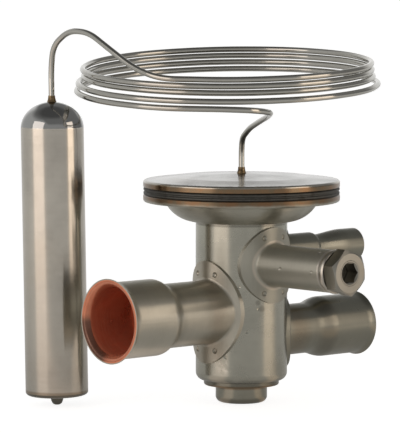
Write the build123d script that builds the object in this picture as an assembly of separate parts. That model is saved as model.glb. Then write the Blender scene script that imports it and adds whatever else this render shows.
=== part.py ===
from build123d import *
import math
import os

# Thermostatic expansion valve with external equalisation, in millimetres.
# The foot stands on Z = 0 and the valve's axis is Z. The outlet points along -X, the inlet and the
# equaliser along +X, and the superheat spindle along -Y.

# ---- driving dimensions: valve body --------------------------------------------------------------
body_r = 11.0            # outer radius of the turned body
body_bottom = 5.4        # height of the body's lower face
body_top = 43.65         # height of the shoulder that carries the element
body_shoulder = 1.95     # rounding of the body's lower edge
spigot_r = 9.5           # register on top of the body that centres the element
spigot_height = 1.6

# chambers inside the body
plug_bore_r = 7.0        # counterbore for the closing ring
plug_bore_depth = 2.6
inlet_chamber_r = 6.0
seat_land_bottom = 18.5  # partition between the inlet and outlet chambers
seat_land_top = 21.5
outlet_chamber_r = 5.5
spring_floor = 30.0      # floor of the spring chamber
ledge_z = 36.9           # ledge that carries the crown nut
spring_chamber_r = 8.8

# passages drilled through the body's wall
passage_r = 3.5
outlet_passage_rise = 2.7    # above the outlet's axis
inlet_passage_drop = 1.7     # below the inlet's axis
equaliser_passage_r = 1.6

# ---- driving dimensions: foot --------------------------------------------------------------------
foot_r = 6.2
foot_height = 4.2
foot_rounding = 1.5
foot_stem_r = 5.1
ring_r = 9.05            # closing ring between the body and the foot
ring_rounding = 0.5
spring_well_r = 3.4      # well in the foot plug for the cone spring
spring_well_depth = 3.0

# ---- driving dimensions: connections -------------------------------------------------------------
pad_t = 0.8              # thickness of the saddle pads on the body
pad_fillet = 0.8         # where a sleeve rises from its pad
dimple_r = 0.75          # projection-weld dimples
dimple_depth = 0.4

outlet_z = 22.5
outlet_pad = (8.6, 12.3)        # half width and half height of the pad
outlet_dimples = (3.1, 9.1)     # half spacing across and up
outlet_neck_r = 7.65
outlet_socket_bore = 15.96      # takes a 5/8 in tube
outlet_steel_t = 0.6
outlet_copper_t = 0.5
outlet_neck_end = 25.0          # distances from the valve's axis
outlet_socket_start = 28.9
outlet_reach = 41.9
outlet_lip = 2.4                # length of the flared lip
outlet_flare = 0.95             # how far the lip stands out
outlet_recess = 1.3             # from the lip's end face in to the lining

inlet_z = 16.3
inlet_pad = (9.0, 9.4)
inlet_dimples = (3.3, 7.25)
inlet_neck_r = 6.15
inlet_socket_bore = 12.8        # takes a 1/2 in tube
inlet_steel_t = 0.5
inlet_copper_t = 0.45
inlet_neck_end = 20.0
inlet_socket_start = 26.0
inlet_reach = 37.8
inlet_lip = 2.0
inlet_flare = 0.5

equaliser_z = 35.8
equaliser_pad = (6.8, 7.2)
equaliser_dimples = (3.0, 5.5)
equaliser_neck_r = 3.8
equaliser_neck_t = 0.6
equaliser_neck_length = 23.4
equaliser_roll = 1.2            # rounding of the sleeve's closed-in end
equaliser_root_r = 3.1          # tube where it leaves the sleeve
equaliser_socket_bore = 6.4     # takes a 1/4 in tube
equaliser_steel_t = 0.4
equaliser_copper_t = 0.38
equaliser_overlap = 5.1         # how far the tube reaches into its sleeve
equaliser_socket_start = 33.0
equaliser_reach = 37.4

# strainer in the inlet's neck
strainer_wall = 0.3
strainer_mouth_r = 4.3
strainer_tip_r = 3.3
strainer_start = 12.2
strainer_end = 19.6
strainer_rows = 4
strainer_holes = 10
strainer_hole_r = 0.5

# ---- driving dimensions: superheat spindle -------------------------------------------------------
spindle_z = 33.8
spindle_pad = (8.15, 9.05)
spindle_dimples = (3.1, 6.6)
housing_r = 5.05
housing_bore_r = 4.2
housing_length = 31.8
housing_roll = 0.6
crimp_at = 29.6          # ring of crimps that locks the nut
crimp_count = 6
crimp_r = 0.6
crimp_depth = 0.22
tack_at = 18.9           # single tack on the sleeve's side
tack_r = 0.85
nut_af = 9.8
nut_face_share = 0.94    # of the width across flats, the round face's diameter
nut_start = 32.0
nut_length = 5.4
nut_turn = 41.0          # degrees the hexagon stands off the key socket's hexagon
nut_shank_length = 12.0
nut_bore_r = 3.0
spindle_r = 2.95
spindle_journal_r = 2.4
spindle_step = 13.0
spindle_collar_r = 3.7
spindle_collar_t = 1.4
key_af = 4.5
key_depth = 4.0
key_lead = 0.35          # countersink round the key socket
seal_section = 1.2       # O-ring section on the spindle
seal_at = 24.5

# ---- driving dimensions: gear pair, nut and spring seat ------------------------------------------
pinion_teeth = 10
crown_teeth = 24
pinion_pitch_r = 2.0
tooth_addendum = 0.36
tooth_dedendum = 0.46
tooth_width = 0.40       # at the pitch line
tooth_tip_width = 0.24
pinion_face = 1.5
pinion_inset = 4.15      # gap from the valve's axis to the pinion's end
crown_rim_r = 7.2        # its rim runs in the gear chamber
crown_flange_r = 8.4
crown_height = 2.0
crown_bore_r = 4.0
seat_sleeve_r = 3.95
seat_drop = 0.3          # sleeve below the crown nut's lower face
seat_flange_r = 7.6
seat_flange_bottom = 39.8
seat_flange_t = 1.2
guide_r = 3.1
guide_flat = 2.6         # half width over the two flats that key the seat
guide_plug_t = 1.9
guide_top = 43.0
slide_clearance = 0.05
running_clearance = 0.05

# ---- driving dimensions: stem, seat and springs --------------------------------------------------
rod_r = 1.2
rod_tip_r = 0.95
rod_tip_length = 3.1
rod_bore_clearance = 0.04
rod_seal_section = 0.95
orifice_r = 1.75
orifice_bush_r = 3.5
orifice_overlap = 0.2    # how far the bush stands out of its land
cone_gap = 0.1           # axial clearance of the cone at rest
cone_angle = 38.0
cone_tip_r = 0.9
cone_r = 2.6
cone_guide_r = 3.2
cone_guide_t = 1.6
spring_wire_r = 0.62
spring_mean_r = 5.6
spring_turns = 4.5
cone_spring_wire_r = 0.35
cone_spring_mean_r = 2.7
cone_spring_turns = 5.5
pad_plate_r = 15.0
pad_plate_t = 1.5
pad_boss_r = 4.7
pad_boss_height = 1.5

# ---- driving dimensions: thermostatic element ----------------------------------------------------
element_r = 23.6
rim_rise = 4.75          # underside of the rim above the body's shoulder
rim_t = 1.75             # thickness of both flanges and shells
clamp_t = 0.75
clamp_inset = 0.06       # clamp rings' edge inside the flanges' edge
clamp_inner_r = 17.5
clamp_chamfer = 0.22
diaphragm_t = 0.2
wave_count = 3
wave_pitch = 2.4
wave_width = 1.8
wave_rise = 0.4
wave_start = 9.0
bowl_r = 17.75           # bowl where it turns up into the flange
bowl_turn_drop = 1.2     # this turn, below the rim
bowl_mid = (14.9, 0.98)  # radius, and height above the body's shoulder
dome_rise = 1.55         # cover's centre above the rim's top edge
dome_crease_r = 16.3
dome_crease_rise = 0.85
rim_rounding = 0.6

# ---- driving dimensions: capillary and bulb ------------------------------------------------------
layout_turn = -42.6      # degrees about Z from +X to the plan direction the capillary is laid out in
capillary_r = 0.7
capillary_bore_r = 0.3
capillary_fit = 0.03
bead_r = 1.15            # brazed bead round the capillary
bead_height = 1.5
bulb_foot = (-44.1, -6.0)       # across and back in the layout's plan
bulb_lean = 0.84         # degrees the bulb leans away from the valve
bulb_r = 7.5
bulb_wall = 0.6
bulb_edge = 3.1          # bulb's lower edge above the tip of its filling stub
bulb_tube_top = 66.5
bulb_dome = 6.1
bulb_cap_bulge = 0.95
stub_r = 1.6
stub_tip_r = 0.5
turn_radii = (34.2, 34.5, 34.1, 35.8, 35.9)      # coil's radius at the start of each turn
turn_heights = (81.8, 80.3, 78.75, 76.95, 75.2)  # its height there
corners_per_turn = 12
coil_start = -116.0      # degrees in the layout's plan
coil_centre = (-3.4, 0.0)
coil_pitch_slope = 0.072        # rise of the coil towards the back
coil_roll_slope = 0.010         # rise of the coil across
arc_share = 0.45         # share of the shorter run that each bend takes
# Corners of the capillary's lead and tail: across and back in the layout's plan, then a height,
# above the bulb's mouth for the lead and above the middle of the element's cover for the tail.
lead_corners = (
    (-44.7, -7.2, 13.4),
    (-40.9, -10.8, 17.1),
    (-36.0, -15.6, 16.9),
    (-30.7, -21.0, 13.0),
    (-25.0, -26.4, 8.9),
)
tail_corners = (
    (-4.5, -36.6, 17.4),
    (2.7, -35.6, 17.1),
    (6.8, -29.5, 16.3),
    (6.3, -20.5, 14.9),
    (4.2, -12.0, 13.1),
    (1.9, -5.2, 11.1),
    (0.2, -1.0, 8.6),
    (0.0, 0.0, 5.5),
)

LONG = 200.0


# ---- helpers -------------------------------------------------------------------------------------
def turned(*edges):
    """Revolves a closed outline of edges, drawn as (radius, height), about Z."""
    return revolve(Plane.XZ * make_face(Curve() + list(edges)), Axis.Z)


def turned_points(*points):
    """Revolves a closed polygon of (radius, height) points about Z."""
    return revolve(Plane.XZ * make_face(Polyline(*points, close=True)), Axis.Z)


def post(radius, bottom, top):
    """A cylinder on Z between two heights."""
    return Pos(0, 0, bottom) * Cylinder(radius, top - bottom, align=(Align.CENTER, Align.CENTER, Align.MIN))


def port_frame(direction, height):
    """Plane whose Z leaves the body along direction and whose Y is up."""
    across = Vector(0, 0, 1).cross(Vector(direction))
    return Plane(origin=(0, 0, height), x_dir=across, z_dir=direction)


OUTLET = port_frame((-1, 0, 0), outlet_z)
INLET = port_frame((1, 0, 0), inlet_z)
EQUALISER = port_frame((1, 0, 0), equaliser_z)
SPINDLE = port_frame((0, -1, 0), spindle_z)


def saddle_pad(frame, half_sizes, dimples):
    """Oval pad wrapped round the body, with four weld dimples pressed into it."""
    wrap = post(body_r + pad_t, -LONG, LONG) - post(body_r, -LONG, LONG)
    outline = frame * extrude(Ellipse(*half_sizes), amount=body_r + 2 * pad_t)
    pad = wrap & outline
    across, up = dimples
    outward = math.sqrt((body_r + pad_t) ** 2 - across**2)
    for x in (-across, across):
        for y in (-up, up):
            centre = frame * Pos(x, y, outward + dimple_r - dimple_depth)
            pad -= centre * Sphere(dimple_r)
    return pad


def wall(path, offset, thickness):
    """Turned wall that follows a radius path, offset inwards and of a given radial thickness.

    path is a list of (radius, distance) knots; between knots of unequal radius the wall runs in a
    smooth S, and a knot with a third value ends its span with that slope.
    """
    def line(inset):
        edges = []
        for (r0, z0, *_), (r1, z1, *slope) in zip(path, path[1:]):
            start, end = (r0 - inset, z0), (r1 - inset, z1)
            if r0 == r1:
                edges.append(Line(start, end))
            else:
                out = slope[0] if slope else 0.0
                edges.append(Spline(start, end, tangents=[(0, 1), (out, 1)]))
        return edges

    outer, inner = line(offset), line(offset + thickness)
    ends = [
        Line(outer[0] @ 0, inner[0] @ 0),
        Line(outer[-1] @ 1, inner[-1] @ 1),
    ]
    return turned(*outer, *inner, *ends)


def on_both(edge, radius, frame, neck_r):
    """True if the edge lies on the pad's outer face and on the sleeve's outer wall."""
    for t in (0.0, 0.25, 0.5, 0.75):
        p = edge @ t
        local = frame.to_local_coords(p)
        on_pad = abs(math.hypot(p.X, p.Y) - radius) < 1e-3
        on_neck = abs(math.hypot(local.X, local.Y) - neck_r) < 1e-3
        if not (on_pad and on_neck):
            return False
    return True


def flanged_sleeve(frame, pad, tube, bore_r, neck_r):
    """Joins a turned tube, coped to the body, to its saddle pad and rounds the root."""
    outside = frame * tube - post(body_r, -LONG, LONG)
    sleeve = pad - frame * post(bore_r, 0, body_r + 2 * pad_t) + outside
    root = [e for e in sleeve.edges() if on_both(e, body_r + pad_t, frame, neck_r)]
    return fillet(root, pad_fillet)


# ---- valve body and foot -------------------------------------------------------------------------
def make_body():
    blank = turned(
        Line((0, body_bottom), (body_r - body_shoulder, body_bottom)),
        RadiusArc((body_r - body_shoulder, body_bottom), (body_r, body_bottom + body_shoulder), -body_shoulder),
        Line((body_r, body_bottom + body_shoulder), (body_r, body_top)),
        Line((body_r, body_top), (spigot_r, body_top)),
        Line((spigot_r, body_top), (spigot_r, body_top + spigot_height)),
        Line((spigot_r, body_top + spigot_height), (0, body_top + spigot_height)),
        Line((0, body_top + spigot_height), (0, body_bottom)),
    )
    top = body_top + spigot_height
    blank -= post(plug_bore_r, body_bottom, body_bottom + plug_bore_depth)
    blank -= post(inlet_chamber_r, body_bottom, seat_land_bottom)
    blank -= post(orifice_bush_r, seat_land_bottom, seat_land_top)
    blank -= post(outlet_chamber_r, seat_land_top, spring_floor)
    blank -= post(crown_rim_r + running_clearance, spring_floor, ledge_z)
    blank -= post(spring_chamber_r, ledge_z, top)
    blank -= OUTLET * Pos(0, outlet_passage_rise, 0) * post(passage_r, 0, body_r + 1)
    blank -= INLET * Pos(0, -inlet_passage_drop, 0) * post(passage_r, 0, body_r + 1)
    blank -= EQUALISER * post(equaliser_passage_r, 0, body_r + 1)
    blank -= SPINDLE * post(spindle_journal_r + running_clearance, 0, body_r + 1)
    return blank


def make_closing_ring():
    ring = post(ring_r, foot_height, body_bottom)
    ring = fillet(ring.edges().group_by(Axis.Z)[0], ring_rounding)
    ring += post(plug_bore_r, body_bottom, body_bottom + plug_bore_depth)
    return ring - post(foot_stem_r, foot_height, body_bottom + plug_bore_depth)


def make_foot_plug():
    foot = post(foot_r, 0, foot_height)
    foot = fillet(foot.edges().group_by(Axis.Z)[0], foot_rounding)
    top = body_bottom + plug_bore_depth
    foot += post(foot_stem_r, foot_height, top)
    return foot - post(spring_well_r, top - spring_well_depth, top)


# ---- connections ---------------------------------------------------------------------------------
def outlet_path():
    total = outlet_steel_t + outlet_copper_t
    socket_r = outlet_socket_bore / 2 + total
    return [
        (outlet_neck_r, 0.0),
        (outlet_neck_r, outlet_neck_end),
        (socket_r, outlet_socket_start),
        (socket_r, outlet_reach - outlet_lip),
        (socket_r + outlet_flare, outlet_reach, 0.7),
    ]


def inlet_path():
    total = inlet_steel_t + inlet_copper_t
    socket_r = inlet_socket_bore / 2 + total
    return [
        (inlet_neck_r, 0.0),
        (inlet_neck_r, inlet_neck_end),
        (socket_r, inlet_socket_start),
        (socket_r, inlet_reach - inlet_lip),
        (socket_r + inlet_flare, inlet_reach, 0.5),
    ]


def equaliser_path():
    total = equaliser_steel_t + equaliser_copper_t
    socket_r = equaliser_socket_bore / 2 + total
    return [
        (equaliser_root_r, equaliser_neck_length - equaliser_overlap),
        (equaliser_root_r, equaliser_neck_length),
        (socket_r, equaliser_socket_start),
        (socket_r, equaliser_reach),
    ]


def make_outlet_sleeve():
    pad = saddle_pad(OUTLET, outlet_pad, outlet_dimples)
    tube = wall(outlet_path(), 0, outlet_steel_t)
    return flanged_sleeve(OUTLET, pad, tube, outlet_neck_r - outlet_steel_t, outlet_neck_r)


def make_outlet_lining():
    lining = wall(outlet_path(), outlet_steel_t, outlet_copper_t)
    lining -= post(body_r, outlet_reach - outlet_recess, outlet_reach)
    return OUTLET * lining - post(body_r, -LONG, LONG)


def make_inlet_sleeve():
    pad = saddle_pad(INLET, inlet_pad, inlet_dimples)
    tube = wall(inlet_path(), 0, inlet_steel_t)
    return flanged_sleeve(INLET, pad, tube, inlet_neck_r - inlet_steel_t, inlet_neck_r)


def make_inlet_lining():
    lining = INLET * wall(inlet_path(), inlet_steel_t, inlet_copper_t)
    return lining - post(body_r, -LONG, LONG)


def make_equaliser_sleeve():
    pad = saddle_pad(EQUALISER, equaliser_pad, equaliser_dimples)
    r, t, end = equaliser_neck_r, equaliser_neck_t, equaliser_neck_length
    roll = equaliser_roll
    shell = turned(
        Line((r - t, 0), (r, 0)),
        Line((r, 0), (r, end - roll)),
        Spline((r, end - roll), (equaliser_root_r, end), tangents=[(0, 1), (-1, 0.35)]),
        Line((equaliser_root_r, end), (equaliser_root_r, end - roll)),
        Line((equaliser_root_r, end - roll), (r - t, end - roll - t)),
        Line((r - t, end - roll - t), (r - t, 0)),
    )
    return flanged_sleeve(EQUALISER, pad, shell, r - t, r)


def make_equaliser_tube():
    return EQUALISER * wall(equaliser_path(), 0, equaliser_steel_t)


def make_equaliser_lining():
    return EQUALISER * wall(equaliser_path(), equaliser_steel_t, equaliser_copper_t)


def make_strainer():
    """Perforated thimble with a flange that seats in the inlet's copper neck."""
    seat_r = inlet_neck_r - inlet_steel_t - inlet_copper_t - slide_clearance
    w = strainer_wall
    thimble = turned_points(
        (0, strainer_start),
        (strainer_tip_r, strainer_start),
        (strainer_mouth_r, strainer_end - w),
        (seat_r, strainer_end - w),
        (seat_r, strainer_end),
        (strainer_mouth_r - w, strainer_end),
        (strainer_tip_r - w, strainer_start + w),
        (0, strainer_start + w),
    )
    pitch = (strainer_end - strainer_start) / (strainer_rows + 1)
    for row in range(strainer_rows):
        height = strainer_start + (row + 1) * pitch
        drill = Rot(0, 90, 0) * Cylinder(strainer_hole_r, inlet_neck_r, align=(Align.CENTER, Align.CENTER, Align.MIN))
        for hole in range(strainer_holes):
            angle = 360 / strainer_holes * (hole + 0.5 * (row % 2))
            thimble -= Pos(0, 0, height) * Rot(0, 0, angle) * drill
    return INLET * thimble


# ---- superheat spindle ---------------------------------------------------------------------------
def crimp(ball_r, distance, angle):
    """Ball that presses one small dent into the spindle housing; angle 0 faces -X."""
    radial = housing_r + ball_r - crimp_depth
    x, y = -radial * math.cos(math.radians(angle)), radial * math.sin(math.radians(angle))
    return SPINDLE * Pos(x, y, distance) * Sphere(ball_r)


def make_spindle_housing():
    pad = saddle_pad(SPINDLE, spindle_pad, spindle_dimples)
    r, bore = housing_r, housing_bore_r
    end, roll = housing_length, housing_roll
    shell = turned(
        Line((bore, 0), (r, 0)),
        Line((r, 0), (r, end - roll)),
        RadiusArc((r, end - roll), (r - roll, end), -roll),
        Line((r - roll, end), (bore, end)),
        Line((bore, end), (bore, 0)),
    )
    housing = flanged_sleeve(SPINDLE, pad, shell, bore, r)
    for i in range(crimp_count):
        housing -= crimp(crimp_r, crimp_at, 360 / crimp_count * i)
    return housing - crimp(tack_r, tack_at, 0)


def make_gland_nut():
    """Hexagon nut, chamfered to a round face, with a shank that screws into the housing."""
    head = extrude(RegularPolygon(nut_af / 2, 6, major_radius=False, rotation=nut_turn), amount=nut_length)
    corner_r = nut_af / 2 / math.cos(math.pi / 6)
    chamfer_r = nut_af / 2 * nut_face_share
    drop = (corner_r - chamfer_r) * math.tan(math.radians(30))
    cone = turned_points(
        (0, 0),
        (corner_r, 0),
        (corner_r, nut_length - drop),
        (chamfer_r, nut_length),
        (0, nut_length),
    )
    head = Pos(0, 0, nut_start) * (head & cone)
    shank = post(housing_bore_r, nut_start - nut_shank_length, nut_start)
    washer = post(nut_af / 2 * 0.97, housing_length, nut_start)
    bore = post(nut_bore_r, 0, nut_start + nut_length)
    return SPINDLE * (head + shank + washer - bore)


def pinion():
    """Straight pinion teeth along the spindle's axis, one of them pointing straight up."""
    tip_r = pinion_pitch_r + tooth_addendum
    root_r = pinion_pitch_r - tooth_dedendum
    tooth = Polyline(
        (-tooth_width * 0.62, root_r * 0.9),
        (-tooth_width / 2, pinion_pitch_r),
        (-tooth_tip_width / 2, tip_r),
        (tooth_tip_width / 2, tip_r),
        (tooth_width / 2, pinion_pitch_r),
        (tooth_width * 0.62, root_r * 0.9),
        close=True,
    )
    gear = Cylinder(root_r, pinion_face, align=(Align.CENTER, Align.CENTER, Align.MIN))
    blade = extrude(make_face(tooth), amount=pinion_face)
    for i in range(pinion_teeth):
        gear += Rot(0, 0, 360 / pinion_teeth * i) * blade
    return Pos(0, 0, pinion_inset) * gear


def make_spindle():
    journal_start = pinion_inset + pinion_face
    end = nut_start + nut_length
    collar_end = nut_start - nut_shank_length - running_clearance
    shaft = post(spindle_journal_r, journal_start, spindle_step)
    shaft += post(spindle_r, spindle_step, end)
    shaft += post(spindle_collar_r, collar_end - spindle_collar_t, collar_end)
    shaft -= post(spindle_r + 1, seal_at - seal_section / 2, seal_at + seal_section / 2) - post(
        nut_bore_r - seal_section, 0, LONG
    )
    shaft -= Pos(0, 0, end - key_depth) * extrude(
        RegularPolygon(key_af / 2, 6, major_radius=False, rotation=0), amount=key_depth
    )
    key_r = key_af / 2 / math.cos(math.pi / 6)
    shaft -= turned_points((0, end), (key_r + key_lead / 3, end), (key_r - key_lead, end - key_lead), (0, end - key_lead))
    return SPINDLE * (shaft + pinion())


def make_spindle_seal():
    section = seal_section / 2
    return SPINDLE * Pos(0, 0, seal_at) * Torus(nut_bore_r - section, section - running_clearance / 2)


# ---- crown nut, spring seat and rod guide --------------------------------------------------------
def crown_face():
    """Height of the crown nut's tooth roots."""
    return spindle_z + pinion_pitch_r + tooth_dedendum


def make_crown_nut():
    """Ring nut with face teeth underneath that mesh with the spindle's pinion."""
    face = crown_face()
    top = face + crown_height
    nut = post(crown_rim_r, face, top) + post(crown_flange_r, ledge_z + running_clearance, top)
    nut -= post(crown_bore_r, face, top)
    tooth_in = crown_bore_r
    tooth_out = pinion_inset + pinion_face - 2 * running_clearance
    tip_drop = tooth_dedendum + tooth_addendum
    profile = Polyline(
        (-tooth_width * 0.62, 0.1),
        (-tooth_width / 2, -tooth_dedendum),
        (-tooth_tip_width / 2, -tip_drop),
        (tooth_tip_width / 2, -tip_drop),
        (tooth_width / 2, -tooth_dedendum),
        (tooth_width * 0.62, 0.1),
        close=True,
    )
    blade = Pos(0, -tooth_in, face) * Rot(90, 0, 0) * extrude(make_face(profile), amount=tooth_out - tooth_in)
    for i in range(crown_teeth):
        nut += Rot(0, 0, 360 / crown_teeth * (i + 0.5)) * blade
    return nut - post(crown_bore_r, face - tip_drop, face)


def keyed_post(radius, flat, bottom, top):
    """A round post with two flats."""
    box = Pos(0, 0, (bottom + top) / 2) * Box(2 * flat, 2 * radius, top - bottom)
    return post(radius, bottom, top) & box


def make_spring_seat():
    flange_top = seat_flange_bottom + seat_flange_t
    bottom = crown_face() - seat_drop
    seat = post(seat_sleeve_r, bottom, flange_top)
    seat += post(seat_flange_r, seat_flange_bottom, flange_top)
    seat += post(spring_mean_r - spring_wire_r - slide_clearance, flange_top, flange_top + spring_wire_r)
    return seat - keyed_post(guide_r + slide_clearance, guide_flat + slide_clearance, bottom, flange_top + 1)


def guide_plug_bottom():
    return spring_floor - guide_plug_t / 2


def make_rod_guide():
    bottom = guide_plug_bottom()
    guide = post(outlet_chamber_r, bottom, spring_floor + guide_plug_t / 2)
    guide += keyed_post(guide_r, guide_flat, spring_floor, guide_top)
    guide -= post(rod_r + rod_bore_clearance, bottom, guide_top)
    return guide - post(rod_r + rod_seal_section + slide_clearance, bottom, bottom + rod_seal_section + slide_clearance)


def make_rod_seal():
    section = rod_seal_section / 2
    height = guide_plug_bottom() + section + slide_clearance / 2
    return Pos(0, 0, height) * Torus(rod_r + section + rod_bore_clearance, section - slide_clearance / 4)


def ground_spring(wire_r, mean_r, turns, bottom, top):
    """Helical compression spring with its ends ground flat."""
    overrun = wire_r * 0.7
    height = top - bottom + 2 * overrun
    path = Helix(pitch=height / turns, height=height, radius=mean_r)
    section = Plane(origin=path @ 0, z_dir=path % 0) * Circle(wire_r)
    coil = Pos(0, 0, bottom - overrun) * sweep(section, path=path, is_frenet=True)
    return coil & post(mean_r + 2 * wire_r, bottom, top)


def make_superheat_spring():
    bottom = seat_flange_bottom + seat_flange_t
    return ground_spring(spring_wire_r, spring_mean_r, spring_turns, bottom, pad_plate_bottom())


# ---- stem, seat and cone -------------------------------------------------------------------------
def rim_bottom():
    return body_top + rim_rise


def lower_clamp_bottom():
    return rim_bottom() + rim_t


def pad_plate_bottom():
    return lower_clamp_bottom() + clamp_t - pad_plate_t


def make_pressure_pad():
    """Thrust plate under the diaphragm, with a boss that centres the spring and takes the rod."""
    bottom = pad_plate_bottom()
    pad = post(pad_plate_r, bottom, bottom + pad_plate_t)
    pad = chamfer(pad.edges().group_by(Axis.Z)[-1], 0.3)
    pad += post(pad_boss_r, bottom - pad_boss_height, bottom)
    return pad - post(rod_r, bottom - pad_boss_height, bottom - pad_boss_height / 3)


def cone_top():
    """Height of the cone's tip, from where its flank meets the seat's lower edge."""
    rise = (orifice_r - cone_tip_r) / math.tan(math.radians(cone_angle))
    return seat_land_bottom - orifice_overlap - cone_gap + rise


def make_push_rod():
    top = pad_plate_bottom() - pad_boss_height / 3
    rod = post(rod_r, cone_top() + rod_tip_length, top)
    return rod + post(rod_tip_r, cone_top(), cone_top() + rod_tip_length)


def make_orifice_seat():
    bottom, top = seat_land_bottom - orifice_overlap, seat_land_top + orifice_overlap
    bush = post(orifice_bush_r, bottom, top) - post(orifice_r, bottom, top)
    return chamfer(bush.edges().filter_by(GeomType.CIRCLE).group_by(Axis.Z)[-1].sort_by(SortBy.RADIUS)[0], 0.6)


def make_valve_cone():
    tip = cone_top()
    slope = math.tan(math.radians(cone_angle))
    cone_bottom = tip - (cone_r - cone_tip_r) / slope
    return turned_points(
        (0, tip),
        (cone_tip_r, tip),
        (cone_r, cone_bottom),
        (cone_r, cone_bottom - 1.0),
        (cone_guide_r, cone_bottom - 1.3),
        (cone_guide_r, cone_bottom - 1.3 - cone_guide_t),
        (0, cone_bottom - 1.3 - cone_guide_t),
    )


def cone_bottom_z():
    slope = math.tan(math.radians(cone_angle))
    return cone_top() - (cone_r - cone_tip_r) / slope - 1.3 - cone_guide_t


def make_cone_spring():
    bottom = body_bottom + plug_bore_depth - spring_well_depth
    return ground_spring(cone_spring_wire_r, cone_spring_mean_r, cone_spring_turns, bottom, cone_bottom_z())


# ---- thermostatic element ------------------------------------------------------------------------
def make_element_base():
    """Pressed bowl with a flat flange, seated on the body's shoulder."""
    outer_r, low, top = element_r, rim_bottom(), rim_bottom() + rim_t
    turn_r, turn_z = bowl_r - rim_t, low - bowl_turn_drop
    mid = (bowl_mid[0], body_top + bowl_mid[1])
    inner_mid = (mid[0] - rim_t * 0.45, mid[1] + rim_t * 0.9)
    floor = body_top + rim_t
    rr = rim_rounding
    return turned(
        Line((spigot_r, body_top), (body_r + 0.1, body_top)),
        ThreePointArc((body_r + 0.1, body_top), mid, (bowl_r, turn_z)),
        Spline((bowl_r, turn_z), (bowl_r + 1.0, low), tangents=[(0.65, 1), (1, 0.25)]),
        Line((bowl_r + 1.0, low), (outer_r - rr, low)),
        RadiusArc((outer_r - rr, low), (outer_r, low + rr), -rr),
        Line((outer_r, low + rr), (outer_r, top - clamp_chamfer)),
        Line((outer_r, top - clamp_chamfer), (outer_r - clamp_chamfer, top)),
        Line((outer_r - clamp_chamfer, top), (clamp_inner_r, top)),
        Line((clamp_inner_r, top), (turn_r, turn_z + 0.6)),
        ThreePointArc((turn_r, turn_z + 0.6), inner_mid, (body_r, floor)),
        Line((body_r, floor), (spigot_r, floor)),
        Line((spigot_r, floor), (spigot_r, body_top)),
    )


def clamp_r():
    return element_r - clamp_inset


def clamp_ring(bottom):
    c, outer_r = clamp_chamfer, clamp_r()
    return turned_points(
        (clamp_inner_r, bottom),
        (outer_r - c, bottom),
        (outer_r, bottom + c),
        (outer_r, bottom + clamp_t - c),
        (outer_r - c, bottom + clamp_t),
        (clamp_inner_r, bottom + clamp_t),
    )


def diaphragm_bottom():
    return lower_clamp_bottom() + clamp_t


def upper_clamp_bottom():
    return diaphragm_bottom() + diaphragm_t


def cover_bottom():
    return upper_clamp_bottom() + clamp_t


def make_diaphragm():
    """Thin disc with rings pressed into it between its flat centre and its clamped edge."""
    z, edge_r = diaphragm_bottom(), clamp_r() - clamp_chamfer

    def side(height):
        edges, reached = [], (0, z + height)
        for i in range(wave_count):
            start = wave_start + wave_pitch * i
            end = start + wave_width
            crest = ((start + end) / 2, z + height + wave_rise)
            edges.append(Line(reached, (start, z + height)))
            edges.append(ThreePointArc((start, z + height), crest, (end, z + height)))
            reached = (end, z + height)
        return edges + [Line(reached, (edge_r, z + height))]

    ends = [
        Line((0, z), (0, z + diaphragm_t)),
        Line((edge_r, z), (edge_r, z + diaphragm_t)),
    ]
    return turned(*side(0), *side(diaphragm_t), *ends)


def rim_top():
    return cover_bottom() + rim_t


def make_element_cover():
    """Domed cover with a raised centre, pierced for the capillary."""
    low, top = cover_bottom(), rim_top()
    rr, hole = rim_rounding, capillary_r + capillary_fit
    crease = (dome_crease_r, top + dome_crease_rise)
    centre_z = top + dome_rise
    shoulder = (element_r - rr, top + 0.05)
    return turned(
        Line((clamp_inner_r, low), (element_r - clamp_chamfer, low)),
        Line((element_r - clamp_chamfer, low), (element_r, low + clamp_chamfer)),
        Line((element_r, low + clamp_chamfer), (element_r, top - rr)),
        Spline((element_r, top - rr), shoulder, tangents=[(0, 1), (-1, 0.08)]),
        Spline(shoulder, crease, tangents=[(-1, 0.08), (-1, 0.12)]),
        Line(crease, (3.0, centre_z)),
        Line((3.0, centre_z), (hole, centre_z)),
        Line((hole, centre_z), (hole, centre_z - rim_t)),
        Line((hole, centre_z - rim_t), (3.0, centre_z - rim_t)),
        Line((3.0, centre_z - rim_t), (dome_crease_r, crease[1] - rim_t)),
        Line((dome_crease_r, crease[1] - rim_t), (clamp_inner_r, low)),
    )


def bead(bottom):
    """Brazed bead round the capillary, wide at its foot."""
    r = capillary_r + capillary_fit
    return turned(
        Line((r, bottom), (bead_r, bottom)),
        Spline((bead_r, bottom), (r + 0.08, bottom + bead_height), tangents=[(-0.5, 1), (-0.05, 1)]),
        Line((r + 0.08, bottom + bead_height), (r, bottom + bead_height)),
        Line((r, bottom + bead_height), (r, bottom)),
    )


def make_element_bead():
    return bead(rim_top() + dome_rise)


# ---- bulb ----------------------------------------------------------------------------------------
LAYOUT = Rot(0, 0, layout_turn)
bulb_lift = stub_tip_r * math.sin(math.radians(bulb_lean))   # puts the leaning stub's edge on the floor
BULB = LAYOUT * Pos(bulb_foot[0], bulb_foot[1], bulb_lift) * Rot(0, -bulb_lean, 0)


def bulb_height():
    return bulb_tube_top + bulb_dome


def bulb_mouth():
    """Height of the dome's edge round the capillary."""
    return bulb_tube_top + bulb_dome * math.sqrt(1 - ((capillary_r + capillary_fit) / bulb_r) ** 2)


def dome_line(radius, bottom, height, opening):
    """Quarter-ellipse from the tube's wall to the edge of the capillary's hole."""
    share = math.degrees(math.acos(opening / radius))
    return EllipticalCenterArc(
        (0, bottom), radius, height, start_angle=0, arc_size=share
    )


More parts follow.
